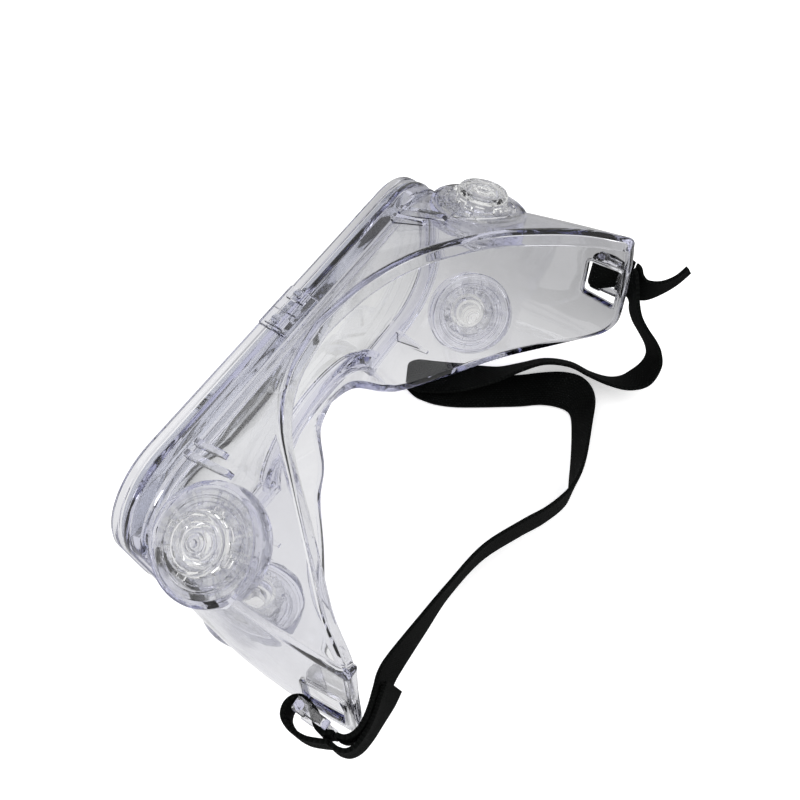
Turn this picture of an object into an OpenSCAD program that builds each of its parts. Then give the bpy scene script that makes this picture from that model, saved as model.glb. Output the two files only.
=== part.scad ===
// Chemical splash goggles: a clear moulded mask with a flat lens in its front frame,
// four capped indirect vents, a swivelling strap buckle in each temple window and an
// elastic head strap that lies loose on the table behind.
// Frame: +X wearer's left, -Y the way the lens faces, +Z up, z = 0 the table.

/* [Front frame] */
// Width of the front frame
frame_w = 157; // [140:1:180]
// Height of the front frame
frame_h = 69; // [55:0.5:80]
// Depth of the front frame from front lip to its back face
frame_d = 11; // [8:0.5:14]
// Corner radius at the brow
brow_r = 24; // [12:1:30]
// Corner radius at the cheek
cheek_r = 25; // [12:1:30]
// Half width of the nose notch at the bottom edge
nose_hw = 27; // [20:1:34]
// Height of the nose notch
nose_h = 19; // [10:1:26]

/* [Mask] */
// Depth of the goggles from lens to temple end
mask_d = 84; // [60:1:100]
// Thickness of the moulded wall
wall_t = 1.8; // [1.2:0.1:3]
// Width of the turned lip that meets the forehead
lip_w = 5; // [3:0.5:8]
// Thickness of the turned lip
lip_t = 1.6; // [1:0.1:2.5]
// How far the temples bow outward
bow = 4.5; // [0:0.5:8]
// Length of the strap window in a temple
window_l = 12; // [10:0.5:15]
// Height of the strap window in a temple
window_h = 19; // [18:0.5:24]

/* [Lens] */
// Thickness of the lens
lens_t = 2; // [1:0.1:3]

/* [Vents] */
// Radius of the vent flange
vent_r = 14; // [11:0.5:17]
// Radius of the vent cap
vent_cap_r = 8.6; // [6:0.1:10]
// Height of the vent cap above its flange
vent_cap_h = 4.8; // [3:0.1:8]
// Outward lean of the top vents
vent_lean_top = 22; // [0:1:45]
// Outward lean of the bottom vents
vent_lean_low = 27; // [0:1:45]

/* [Strap] */
// Width of the elastic strap
strap_w = 14; // [12:0.5:16]
// Thickness of the elastic strap
strap_t = 1.3; // [0.8:0.1:2]

/* [Hidden] */
$fn = 48;

// half width of the frame, y of the front lip, of the frame's back face and of the lens seat
hw = frame_w / 2;
y0 = -mask_d / 2;
yb = y0 + frame_d;
yl = y0 + 2;
sx = frame_w / 157;
sz = frame_h / 69;
sy = (mask_d - frame_d) / 73;

clear_pvc = [0.86, 0.87, 0.95, 0.45];
clear_pc = [0.9, 0.92, 0.95, 0.3];
frost = [0.88, 0.89, 0.9, 0.6];
black = [0.05, 0.05, 0.055];

// ---------- small vector helpers ----------
function unit(v) = v / max(norm(v), 0.000001);
function mix(a, b, t) = a + (b - a) * t;
function cr(a, b, c, d, t) = 0.5 * (2 * b + (c - a) * t + (2 * a - 5 * b + 4 * c - d) * t * t
    + (3 * b - a - 3 * c + d) * t * t * t);
function at(L, i) = L[max(0, min(len(L) - 1, i))];
// smooth curve through hand-chosen points, n steps per span
function smooth(L, n) = [for (i = [0 : len(L) - 2], k = [0 : n - 1])
    cr(at(L, i - 1), L[i], L[i + 1], at(L, i + 2), k / n), L[len(L) - 1]];

// ---------- the mask: front contour and face contour, top centre round to the nose ----------
// each row: x, z on the frame's back face; x, y from the frame's back, z on the face contour; bow
half_rows = [
    [0, 67.3, 0, 5.5, 72, 0], [18, 67.3, 18, 10, 74.8, 0], [34, 67.3, 34, 20, 78.5, 0],
    [48, 67.2, 48, 35.5, 81.5, 0.1], [59, 66.2, 59, 48, 79.8, 0.1], [68, 62.6, 68, 58, 76.5, 0.1],
    [72, 59, 73.3, 66.4, 74, 0.15], [73.8, 56.5, 75.3, 69.2, 72.5, 0.2], [75.2, 52.6, 76.2, 70, 68.6, 0.3],
    [76.8, 46, 78, 71, 58, 0.5], [77, 33, 80, 72, 40, 0.8],
    [76.6, 21, 81, 71.5, 26, 0.7], [73.4, 12.5, 79, 65, 15.5, 0.4], [65, 4.6, 71.5, 54.5, 10, 0.1],
    [53, 1.7, 56, 40.5, 10, 0], [41, 1.5, 40, 28, 9, 0], [30, 1.7, 26, 16, 7, 0],
    [22.5, 12.2, 17.5, 12.5, 14.5, 0], [12.5, 18.6, 9.6, 6.5, 22.5, 0], [0, 20.6, 0, 4.5, 25.5, 0]];
rows = smooth(half_rows, 3);
m = len(rows);
// the whole contour, both sides, without repeating the two centre points
loop = concat([for (i = [0 : m - 1]) rows[i]],
    [for (i = [m - 2 : -1 : 1]) [for (k = [0 : 5]) (k == 0 || k == 2 ? -1 : 1) * rows[i][k]]]);
n = len(loop);
function front_p(i) = [loop[i % n][0] * sx, yb, loop[i % n][1] * sz];
function face_p(i) = [loop[i % n][2] * sx, yb + loop[i % n][3] * sy, loop[i % n][4] * sz];
// the wall stops short of the face contour by the lip's thickness
function rear_p(i) = face_p(i) - lip_t * unit(face_p(i) - front_p(i));
function out_p(i, t) = mix(front_p(i), rear_p(i), t)
    + unit([front_p(i)[0], 0, front_p(i)[2] - 34]) * bow * loop[i % n][5] * 4 * t * (1 - t);
function nrm(i, t) = unit(cross(out_p(i + 1, t) - out_p(i + n - 1, t),
    out_p(i, min(t + 0.05, 1)) - out_p(i, max(t - 0.05, 0))));
function flat_n(v) = unit([v[0], 0, v[2]]);
function in_p(i, t, d) = let (q = out_p(i, t) - d * (t == 0 ? flat_n(nrm(i, t)) : nrm(i, t)))
    [q[0], max(q[1], yb + 3 * t), q[2]];
steps = [0, 0.14, 0.32, 0.5, 0.68, 0.85, 1];
ns = len(steps);

// closed band of quads between rings that all have n points
function tube_faces(r) = [for (j = [0 : r - 1], i = [0 : n - 1], k = [0, 1])
    let (a = j * n + i, b = j * n + (i + 1) % n, c = ((j + 1) % r) * n + (i + 1) % n,
        d = ((j + 1) % r) * n + i) k == 0 ? [c, b, a] : [d, c, a]];

module wall() {
    pts = concat([for (t = steps, i = [0 : n - 1]) out_p(i, t)],
        [for (j = [ns - 1 : -1 : 0], i = [0 : n - 1]) in_p(i, steps[j], wall_t)]);
    polyhedron(points = pts, faces = tube_faces(2 * ns), convexity = 10);
}

// lip width: full along the brow, narrow down the temples, cheeks and nose
function lip_at(i) = let (k = i < m ? i : n - i) k < 15 ? lip_w : k < 30 ? mix(lip_w, 3, (k - 15) / 15) : 3;

module lip() {
    back = function (i) lip_t * unit(rear_p(i) - out_p(i, 0.94));
    pts = concat([for (i = [0 : n - 1]) rear_p(i)], [for (i = [0 : n - 1]) rear_p(i) + back(i)],
        [for (i = [0 : n - 1]) in_p(i, 1, lip_at(i)) + back(i)], [for (i = [0 : n - 1]) in_p(i, 1, lip_at(i))]);
    polyhedron(points = pts, faces = tube_faces(4), convexity = 10);
}

// ---------- front frame outline, inset by d ----------
function arc(cx, cz, r, a0, a1, k) = [for (j = [0 : k]) let (a = mix(a0, a1, j / k))
    [cx + r * cos(a), cz + r * sin(a)]];
function half_outline(d) = concat(
    arc(hw - brow_r, frame_h - brow_r, brow_r - d, 90, 0, 10),
    arc(hw - cheek_r, cheek_r, cheek_r - d, 0, -90, 12),
    let (a = nose_hw + d, b = nose_h + d, s = asin(d / b))
        [for (j = [0 : 11]) let (f = mix(s, 90, j / 12)) [a * cos(f), b * sin(f)]]);
function outline(d) = let (h = half_outline(d), k = len(h)) concat(h, [[0, nose_h + d]],
    [for (j = [k - 1 : -1 : 0]) [-h[j][0], h[j][1]]]);

// plate of the outline between two depths behind the lens side
module plate(d, ya, yz) {
    translate([0, y0 + yz, 0]) rotate([90, 0, 0]) linear_extrude(yz - ya) polygon(outline(d));
}
module ring(d1, d2, ya, yz) {
    difference() { plate(d1, ya, yz); plate(d2, ya - 1, yz + 1); }
}

// ---------- vents ----------
// each vent stands on a round pad; its own axis is local z, z = 0 at the pad's face
vent_x = 67.6 * sx;
vent_y = yl + 29;
vent_z_top = 67 * sz;
vent_z_low = 9.2;
pad_h = 6;
bore_r = 6.6;
module at_vent(side, top) {
    translate([side * vent_x, vent_y, top ? vent_z_top : vent_z_low])
        rotate([0, side * (top ? vent_lean_top : 180 - vent_lean_low), 0]) children();
}
module vent_seat() {
    color(frost) difference() {
        union() {
            cylinder(r = vent_r, h = 1.1);
            cylinder(r = vent_r - 1.8, h = 1.5);
            translate([0, 0, -pad_h - 1.6]) cylinder(r = bore_r, h = pad_h + 2);
        }
        translate([0, 0, -pad_h - 3]) cylinder(r = bore_r - 1.3, h = pad_h + 6);
        // groove round the flange
        difference() {
            translate([0, 0, 0.9]) cylinder(r = vent_r - 2.6, h = 2);
            translate([0, 0, 0]) cylinder(r = vent_r - 3.4, h = 4);
        }
    }
}
module vent_retainer() {
    color(frost) translate([0, 0, -pad_h - 1.6]) difference() {
        cylinder(r = 9.4, h = 1.6);
        translate([0, 0, -1]) cylinder(r = bore_r, h = 4);
        for (a = [0 : 60 : 300]) rotate([0, 0, a]) translate([8.8, 0, -1]) cylinder(r = 0.9, h = 4, $fn = 20);
    }
}
module vent_cap() {
    z0 = 1.8;
    color(frost) difference() {
        union() {
            // domed lid with its raised rim
            translate([0, 0, z0 + vent_cap_h - 2.3]) cylinder(r = vent_cap_r, h = 1.6);
            translate([0, 0, z0 + vent_cap_h - 1]) cylinder(r = vent_cap_r - 0.8, h = 0.7);
            // skirt the air passes through
            difference() {
                translate([0, 0, z0]) cylinder(r = vent_cap_r, h = vent_cap_h - 2);
                translate([0, 0, z0 - 1]) cylinder(r = vent_cap_r - 1.2, h = vent_cap_h);
                for (a = [0 : 45 : 315]) rotate([0, 0, a + 22.5])
                    translate([vent_cap_r - 3, -1.5, z0 - 1]) cube([5, 3, vent_cap_h - 2.2]);
            }
            // spigot that turns in the seat
            translate([0, 0, -4]) cylinder(r = bore_r - 1.3 - 0.06, h = z0 + vent_cap_h + 2.6);
            // snap lugs on the skirt
            for (a = [0 : 90 : 270]) rotate([0, 0, a])
                translate([vent_cap_r - 0.4, -1.2, z0 + 0.6]) cube([1.7, 2.4, 1.2]);
            // raised centre ring and boss
            translate([0, 0, z0 + vent_cap_h - 0.5]) difference() {
                cylinder(r = 2.9, h = 0.55);
                translate([0, 0, -1]) cylinder(r = 2.2, h = 3);
            }
            translate([0, 0, z0 + vent_cap_h - 0.5]) cylinder(r = 1.1, h = 0.6, $fn = 24);
        }
        // hollow of the spigot, closed by the lid
        translate([0, 0, -5]) cylinder(r = bore_r - 2.6, h = z0 + vent_cap_h + 2.4);
    }
}

// ---------- strap windows and buckles ----------
window_y = yl + 77.5 - window_l;
window_z = 34 * sz;
bar_y = window_y + 2.6;
hinge_y = window_y + window_l - 1.6;
buckle_x = 84.4 * sx;
buckle_z = window_z + 0.8;
buckle_h = window_h - 1.6;
module window_cut() {
    translate([60 * sx, window_y, window_z]) rotate([90, 0, 90]) linear_extrude(40)
        polygon([[1.2, 0], [window_l - 1.2, 0], [window_l - 0.35, 0.35], [window_l, 1.2],
            [window_l, window_h + 1.3], [window_l - 0.4, window_h + 2.2], [window_l - 1.4, window_h + 2.4],
            [1.6, window_h], [0.4, window_h - 0.5], [0, window_h - 1.4], [0, 1.2], [0.35, 0.35]]);
}
module buckle() {
    color(clear_pc) {
        // the two rails, thick for their front half
        for (z = [0, buckle_h - 1.6]) translate([buckle_x, bar_y, buckle_z + z]) {
            translate([-1.2, -1.3, 0]) cube([2.4, hinge_y - bar_y + 2.3, 1.6]);
            translate([-1.8, -1.3, 0]) cube([3.6, 4, 1.6]);
        }
        // the round bar the strap goes over, and the thinner rear bar it swings on
        translate([buckle_x, bar_y, buckle_z]) cylinder(r = 1.2, h = buckle_h);
        translate([buckle_x, hinge_y, buckle_z]) cylinder(r = 0.9, h = buckle_h);
    }
}

// ---------- strap: flat ribbon swept along hand-chosen points ----------
// each row: x, y behind the lens seat, z of the middle, then the way its width points
function row_p(r) = [r[0], yl + r[1], r[2]];
function row_w(r) = [r[3], r[4], r[5]];
module ribbon(route, k, w) {
    pts = smooth([for (r = route) row_p(r)], k);
    wid = smooth([for (r = route) row_w(r)], k);
    q = len(pts);
    tan = function (i) unit(pts[min(i + 1, q - 1)] - pts[max(i - 1, 0)]);
    sect = function (i) let (a = unit(wid[i]), b = unit(cross(tan(i), a)), h = w / 2,
        c = strap_t / 2) [for (s = [[-h + 0.4, -c], [h - 0.4, -c], [h, 0], [h - 0.4, c], [-h + 0.4, c], [-h, 0]])
        pts[i] + s[0] * a + s[1] * b];
    polyhedron(points = [for (i = [0 : q - 1]) each sect(i)],
        faces = concat([[0, 1, 2, 3, 4, 5]], [[for (j = [0 : 5]) (q - 1) * 6 + 5 - j]],
            [for (i = [0 : q - 2], j = [0 : 5], t = [0, 1]) let (a = i * 6 + j, b = i * 6 + (j + 1) % 6)
                t == 0 ? [b + 6, b, a] : [a + 6, b + 6, a]]), convexity = 10);
}
mid_z = buckle_z + buckle_h / 2;
bx = buckle_x;
by = bar_y - yl;
main_route = [
    [-bx - 0.4, 79.2, mid_z, 0, 0, 1], [-84.5, 80.6, 42.8, 0.05, 0, 1], [-83.7, 82, 40.6, 0.2, 0.05, 0.97],
    [-82.2, 83.8, 36.6, 0.38, 0.16, 0.9], [-81.3, 86.4, 32, 0.48, 0.2, 0.85], [-81.1, 90, 27.6, 0.5, 0.2, 0.84],
    [-81.5, 93.8, 22.6, 0.48, 0.26, 0.84], [-82, 96.2, 17, 0.44, 0.36, 0.82], [-80.8, 97.1, 11.4, 0.42, 0.55, 0.72],
    [-77.2, 95.8, 7, 0.55, 0.62, 0.54], [-73.2, 92.1, 5.6, 0.66, 0.42, 0.6], [-70.4, 86.6, 5.9, 0.66, 0.2, 0.71],
    [-69.3, 79.4, 6.1, 0.62, 0.15, 0.77], [-69.2, 71.2, 6.3, 0.62, 0.18, 0.77], [-65.5, 62.7, 6.3, 0.62, 0.22, 0.75],
    [-58.6, 56.2, 6, 0.62, 0.3, 0.72], [-52.4, 50.8, 5.4, 0.68, 0.38, 0.62], [-47.8, 44.8, 4.6, 0.78, 0.45, 0.42],
    [-43.5, 38.6, 3.8, 0.84, 0.5, 0.22], [-39.8, 32, 3.2, 0.86, 0.5, 0.06], [-37, 26.2, 3.1, 0.88, 0.47, 0],
    [-35.4, 22.6, 3.1, 0.89, 0.45, 0], [-34.8, 21.2, 2.6, 0.89, 0.45, 0], [-34.8, 21.3, 1.2, 0.89, 0.45, 0],
    [-35, 23, 0.8, 0.89, 0.45, 0], [-35.1, 26.4, 0.8, 0.88, 0.47, 0],
    [-36, 32, 0.8, 0.86, 0.5, 0], [-38.6, 38.4, 0.8, 0.84, 0.53, 0], [-43, 45.7, 0.8, 0.84, 0.53, 0],
    [-47.8, 53, 0.8, 0.85, 0.52, 0], [-52.4, 59.8, 0.8, 0.86, 0.5, 0], [-57, 66, 1.2, 0.88, 0.46, -0.06],
    [-59.4, 72.4, 2.9, 0.88, 0.28, -0.3], [-59.1, 78.6, 4.9, 0.74, 0, -0.6], [-54.6, 83.6, 6.8, 0.4, -0.3, -0.86],
    [-45, 87.8, 7.7, 0.1, -0.3, -0.95], [-31, 93, 7.8, 0, -0.2, -1], [-21, 95, 7.8, 0, 0, -1],
    [-10.5, 92, 7.8, 0, 0, -1], [-1, 87, 7.8, 0, 0, -1], [13, 80.6, 7.8, 0, 0, -1],
    [29.5, 77.8, 8.4, 0, 0, -1], [44, 77.3, 12.4, 0, 0.12, -1], [58.4, 77.9, 22.5, -0.1, 0.22, -0.96],
    [64.3, 78.7, 27, -0.1, 0.22, -0.96], [69.4, 80.4, 31, -0.05, 0.18, -0.98], [74.8, 81.9, 35.8, 0, 0.08, -1],
    [79.2, 82.7, 39.6, 0, 0.02, -1], [82.3, 82.4, 42, 0, 0, -1], [84.2, 81.1, 43.2, 0, 0, -1], [bx + 0.4, 79.2, mid_z, 0, 0, -1]];
// the loop over the front bar of a buckle: outer layer, round the bar, inner layer
wrap_route = [
    [bx + 2.8, 78.4, mid_z, 0, 0, 1], [bx + 3.4, 76.5, mid_z, 0, 0, 1], [bx + 3.8, by + 5.4, mid_z, 0, 0, 1],
    [bx + 3.2, by + 1.4, mid_z, 0, 0, 1], [bx + 1.6, by - 1.7, mid_z, 0, 0, 1],
    [bx - 0.6, by - 2, mid_z, 0, 0, 1], [bx - 2, by - 0.4, mid_z, 0, 0, 1], [bx - 1.7, by + 1.8, mid_z, 0, 0, 1],
    [bx - 0.2, by + 3.8, mid_z, 0, 0, 1], [bx + 1.5, by + 5.9, mid_z, 0, 0, 1],
    [bx + 1.8, 76.2, mid_z, 0, 0, 1], [bx + 0.9, 77.5, mid_z, 0, 0, 1], [bx + 0.5, 78.4, mid_z, 0, 0, 1]];
// the slacker loop over the left buckle's front bar
loose_route = [
    [bx + 2.8, 78.4, mid_z, 0, 0, 1], [bx + 3.8, 76.5, mid_z, 0, 0, 1], [bx + 5.2, by + 5, mid_z, 0, 0, 1],
    [bx + 5.4, by + 1, mid_z, 0, 0, 1], [bx + 4.2, by - 2.2, mid_z, 0, 0, 1], [bx + 1.8, by - 3.4, mid_z, 0, 0, 1],
    [bx - 0.6, by - 2.8, mid_z, 0, 0, 1], [bx - 2, by - 0.8, mid_z, 0, 0, 1], [bx - 1.7, by + 1.6, mid_z, 0, 0, 1],
    [bx - 0.2, by + 3.8, mid_z, 0, 0, 1], [bx + 1.5, by + 5.9, mid_z, 0, 0, 1],
    [bx + 1.8, 76.2, mid_z, 0, 0, 1], [bx + 0.9, 77.5, mid_z, 0, 0, 1], [bx + 0.5, 78.4, mid_z, 0, 0, 1]];
tail_route = [
    [-bx - 2.8, 79.2, mid_z, 0, 0, 1], [-87, 80.8, 42.8, 0, 0, 1], [-86.6, 82.6, 41, 0.1, 0, 1],
    [-87.6, 85.4, 40, 0.28, -0.06, 0.95], [-90.3, 89, 40.8, 0.45, -0.03, 0.88], [-94.2, 92.2, 42.7, 0.55, -0.02, 0.83],
    [-98.6, 94.2, 45, 0.62, -0.05, 0.78]];
hem_route = [
    [bx + 2.8, 79.2, mid_z, 0, 0, -1], [87.2, 81.4, 43.4, 0, 0, -1], [86.2, 83.4, 42.8, 0, 0, -1],
    [83.8, 84.5, 41.3, 0, 0.02, -1], [80, 84.6, 38.8, 0, 0.05, -1], [75.2, 83.9, 35, 0, 0.1, -1],
    [69.8, 82.8, 30.8, -0.05, 0.2, -0.98], [65.4, 81.7, 27.2, -0.1, 0.23, -0.96]];

// ---------- nodes ----------
module mask_body() {
    color(clear_pvc) difference() {
        union() {
            wall();
            for (s = [-1, 1], t = [true, false]) at_vent(s, t)
                translate([0, 0, -pad_h - 0.3]) cylinder(r = vent_r + 2, h = pad_h + 0.5);
            // tapered stiffening ribs behind the frame, a pair each side
            for (s = [-1, 1], q = [[47.5, 12], [51.5, 17]]) translate([s * q[0] * sx - 0.8, yb + 0.3, 66 * sz])
                rotate([90, 0, 90]) linear_extrude(1.6)
                    polygon([[0, 0], [0, 4.6], [q[1] * 0.85, q[1] * 0.34 + 3.2], [q[1], q[1] * 0.4 + 1]]);
            // a gusset inside each cheek, from the frame down to the floor of the mask
            for (s = [-1, 1]) translate([s * 46 * sx - 0.7, yb + 0.3, 2 * sz]) rotate([90, 0, 90])
                linear_extrude(1.4) polygon([[0, 0], [0, 7.5], [1.5, 7.2], [13, 3], [13.5, 2]]);
        }
        for (s = [-1, 1], t = [true, false]) at_vent(s, t) {
            translate([0, 0, -pad_h - 14]) cylinder(r = bore_r, h = pad_h + 15);
            // room above the pad and below it, so each vent sits flat
            cylinder(r = vent_r + 0.9, h = 12);
            translate([0, 0, -pad_h - 5]) cylinder(r = vent_r - 3.5, h = 5);
        }
        window_cut();
        mirror([1, 0, 0]) window_cut();
    }
}
module face_lip() { color(clear_pvc) lip(); }
module lens_frame() {
    color(clear_pvc) difference() {
        union() {
            ring(0, 2.4, 0, frame_d);
            ring(2.2, 6, 4.6, frame_d);
            ring(5.8, 9, frame_d - 2.6, frame_d);
        }
        // shallow line round the outside of the frame
        ring(-1, 0.5, 4.2, 5.2);
    }
}
module lens() { color(clear_pc) plate(2.7, 2.3, 2.3 + lens_t); }
module lens_latch() {
    color(clear_pvc) translate([0, y0, frame_h]) {
        translate([-8, 0.4, 0]) cube([16, 10.2, 1.2]);
        for (s = [-1, 1]) translate([s * 5.2, 5.4, 0.6]) {
            translate([-2, -3.2, 0]) cube([4, 6.4, 1.5]);
            translate([0, 0, 1.2]) cylinder(r = 1.5, h = 1.4);
        }
        translate([-1.4, 1.4, 0.6]) cube([2.8, 8, 1.1]);
    }
}

mask_body();
face_lip();
lens_frame();
lens();
lens_latch();
at_vent(1, true) vent_seat();  // vent_seat_top_left
at_vent(-1, true) vent_seat();  // vent_seat_top_right
at_vent(1, false) vent_seat();  // vent_seat_low_left
at_vent(-1, false) vent_seat();  // vent_seat_low_right
at_vent(1, true) vent_retainer();  // vent_retainer_top_left
at_vent(-1, true) vent_retainer();  // vent_retainer_top_right
at_vent(1, false) vent_retainer();  // vent_retainer_low_left
at_vent(-1, false) vent_retainer();  // vent_retainer_low_right
at_vent(1, true) vent_cap();  // vent_cap_top_left
at_vent(-1, true) vent_cap();  // vent_cap_top_right
at_vent(1, false) vent_cap();  // vent_cap_low_left
at_vent(-1, false) vent_cap();  // vent_cap_low_right
buckle();  // buckle_left
mirror([1, 0, 0]) buckle();  // buckle_right
color(black) ribbon(main_route, 4, strap_w);  // strap_main
color(black) ribbon(loose_route, 3, strap_w);  // strap_wrap_left
color(black) mirror([1, 0, 0]) ribbon(wrap_route, 3, strap_w);  // strap_wrap_right
color(black) ribbon(tail_route, 4, strap_w);  // strap_tail
color(black) ribbon(hem_route, 4, strap_w);  // strap_hem
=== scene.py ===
import bpy
import math
import bmesh
from mathutils import Matrix, Vector
from mathutils.bvhtree import BVHTree


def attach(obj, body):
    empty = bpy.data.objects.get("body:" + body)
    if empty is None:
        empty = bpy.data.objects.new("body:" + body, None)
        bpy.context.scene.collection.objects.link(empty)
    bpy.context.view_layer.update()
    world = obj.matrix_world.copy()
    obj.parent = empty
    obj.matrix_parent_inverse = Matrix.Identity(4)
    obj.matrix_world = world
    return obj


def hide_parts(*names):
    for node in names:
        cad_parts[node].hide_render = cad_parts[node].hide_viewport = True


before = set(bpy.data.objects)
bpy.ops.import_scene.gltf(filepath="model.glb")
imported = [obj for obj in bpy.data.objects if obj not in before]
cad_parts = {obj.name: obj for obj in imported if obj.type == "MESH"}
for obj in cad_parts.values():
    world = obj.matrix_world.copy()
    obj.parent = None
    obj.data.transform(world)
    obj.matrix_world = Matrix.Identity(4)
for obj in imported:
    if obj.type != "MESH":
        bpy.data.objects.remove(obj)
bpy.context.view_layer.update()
MM = 0.001

# ---------------------------------------------------------------- sizes, as in part.scad, in millimetres
FRAME_W, FRAME_H, FRAME_D = 157.0, 69.0, 11.0
BROW_R, CHEEK_R, NOSE_HW, NOSE_H = 24.0, 25.0, 27.0, 19.0
MASK_D, WALL_T, LIP_W, LIP_NARROW, LIP_T = 84.0, 1.8, 5.0, 3.0, 1.6
BOW, BOW_Z = 4.5, 34
WINDOW_L, WINDOW_H = 12.0, 19.0
STRAP_W, STRAP_T, RIB_PITCH, STITCH = 14.0, 1.3, 0.9, 1.3
CREASE_REACH, CREASE_W = 5.0, 0.45
HW = FRAME_W / 2
Y0 = -MASK_D / 2
YB = Y0 + FRAME_D
YL = Y0 + 2
VENT_X, VENT_Y, VENT_Z_TOP, VENT_Z_LOW = 67.6, YL + 29, 67.0, 9.2
VENT_LEAN_TOP, VENT_LEAN_LOW = 22, 27
VENT_R, PAD_H, BORE_R = 14.0, 6.0, 6.6
PAD_R, ROOM_R, RECESS_R = VENT_R + 2, VENT_R + 0.9, VENT_R - 3.5
WINDOW_Y, WINDOW_Z = YL + 77.5 - WINDOW_L, 34.0
BAR_Y = WINDOW_Y + 2.6
HINGE_Y = WINDOW_Y + WINDOW_L - 1.6
BUCKLE_X, BUCKLE_Z, BUCKLE_H = 84.4, WINDOW_Z + 0.8, WINDOW_H - 1.6
MID_Z = BUCKLE_Z + BUCKLE_H / 2


# ---------------------------------------------------------------- helpers
def catmull(a, b, c, d, t):
    """Catmull-Rom value between b and c, number by number."""
    return [
        0.5 * (2 * q + (r - p) * t + (2 * p - 5 * q + 4 * r - s) * t * t + (3 * q - p - 3 * r + s) * t ** 3)
        for p, q, r, s in zip(a, b, c, d)]


def smooth(points, steps):
    """A smooth run through all the points, with so many steps between two of them."""
    last = len(points) - 1

    def at(i):
        return points[max(0, min(last, i))]

    out = []
    for i in range(last):
        out += [catmull(at(i - 1), at(i), at(i + 1), at(i + 2), k / steps) for k in range(steps)]
    return out + [list(points[last])]


def new_object(name, verts, faces, sharp=35.0):
    mesh = bpy.data.meshes.new(name)
    mesh.from_pydata([tuple(c * MM for c in v) for v in verts], [], faces)
    mesh.validate()
    obj = bpy.data.objects.new(name, mesh)
    bpy.context.scene.collection.objects.link(obj)
    shade(obj, sharp)
    return obj


def shade(obj, sharp=35.0):
    """Smooth shading, with edges above the angle kept sharp."""
    obj.data.polygons.foreach_set("use_smooth", [True] * len(obj.data.polygons))
    obj.data.set_sharp_from_angle(angle=math.radians(sharp))


def loft(name, rings, closed=True, sharp=35.0):
    """Quads between rings of equal length. Closed joins the last ring to the first, open caps both ends."""
    k = len(rings[0])
    verts = [p for ring in rings for p in ring]
    faces = []
    for j in range(len(rings) if closed else len(rings) - 1):
        a, b = j * k, ((j + 1) % len(rings)) * k
        faces += [(a + i, a + (i + 1) % k, b + (i + 1) % k, b + i) for i in range(k)]
    if not closed:
        faces += [tuple(range(k))[::-1], tuple((len(rings) - 1) * k + i for i in range(k))]
    return new_object(name, verts, faces, sharp)


def outward(obj):
    """Faces point out of a closed mesh."""
    bm = bmesh.new()
    bm.from_mesh(obj.data)
    bmesh.ops.recalc_face_normals(bm, faces=bm.faces)
    bm.to_mesh(obj.data)
    bm.free()
    return obj


def lathe(name, profile, steps=72, sharp=35.0):
    """Closed profile of (radius, height) turned about local z. Points on the axis are merged."""
    verts, faces, index = [], [], []
    for j in range(steps):
        a = 2 * math.pi * j / steps
        row = []
        for i, (r, z) in enumerate(profile):
            if r < 1e-6 and j:
                row.append(index[0][i])
            else:
                row.append(len(verts))
                verts.append((r * math.cos(a), r * math.sin(a), z))
        index.append(row)
    k = len(profile)
    for j in range(steps):
        for i in range(k):
            here, there, above = index[j], index[(j + 1) % steps], (i + 1) % k
            quad = [here[i], there[i], there[above], here[above]]
            quad = [q for n, q in enumerate(quad) if q not in quad[:n]]
            if len(quad) > 2:
                faces.append(tuple(quad))
    return outward(new_object(name, verts, faces, sharp))


def prism(name, outline, low, high):
    """Outline of (y, z) points swept along x from low to high."""
    return outward(loft(name, [[(x, y, z) for y, z in outline] for x in (low, high)], closed=False))


def rounded(w, h, r, steps=5):
    """Outline of a rounded rectangle centred on the origin."""
    x, y = w / 2 - r, h / 2 - r
    out = []
    for cx, cy, start in ((x, y, 0), (-x, y, 90), (-x, -y, 180), (x, -y, 270)):
        for k in range(steps + 1):
            a = math.radians(start + 90 * k / steps)
            out.append((cx + r * math.cos(a), cy + r * math.sin(a)))
    return out


def block(name, low, high, r=0.3):
    """Box with rounded edges."""
    size = [b - a for a, b in zip(low, high)]
    mid = [(a + b) / 2 for a, b in zip(low, high)]
    steps, least = 4, 0.02
    levels = []
    for k in range(steps + 1):
        a = math.pi / 2 * k / steps
        levels.append((r * (1 - math.sin(a)), -size[2] / 2 + r * (1 - math.cos(a))))
    levels += [(d, -z) for d, z in reversed(levels)]
    rings = []
    for d, z in levels:
        corners = rounded(size[0] - 2 * d, size[1] - 2 * d, max(r - d, least) + least)
        rings.append([(mid[0] + x, mid[1] + y, mid[2] + z) for x, y in corners])
    return outward(loft(name, rings, closed=False))


def merge(target, others, operation):
    """One boolean of target with all the others, which are then removed."""
    group = bpy.data.collections.new("operands")
    for o in others:
        group.objects.link(o)
    m = target.modifiers.new("merge", "BOOLEAN")
    m.operation, m.solver, m.operand_type, m.collection = operation, "EXACT", "COLLECTION", group
    bpy.context.view_layer.update()
    mesh = bpy.data.meshes.new_from_object(target.evaluated_get(bpy.context.evaluated_depsgraph_get()))
    target.modifiers.clear()
    target.data = mesh
    for o in others:
        bpy.data.objects.remove(o)
    bpy.data.collections.remove(group)


def place(obj, matrix):
    """Moves the mesh itself, so that the object stays at the origin."""
    obj.data.transform(matrix)
    return obj


def spin(degrees):
    return Matrix.Rotation(math.radians(degrees), 4, "Z")


def vent_matrix(side, top):
    """Place of a vent: its seat plane in the wall, with local z pointing out of the mask."""
    lean = math.radians(VENT_LEAN_TOP if top else 180 - VENT_LEAN_LOW)
    z = VENT_Z_TOP if top else VENT_Z_LOW
    seat = Matrix.Translation((side * VENT_X * MM, VENT_Y * MM, z * MM))
    return seat @ Matrix.Rotation(side * lean, 4, "Y")


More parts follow.
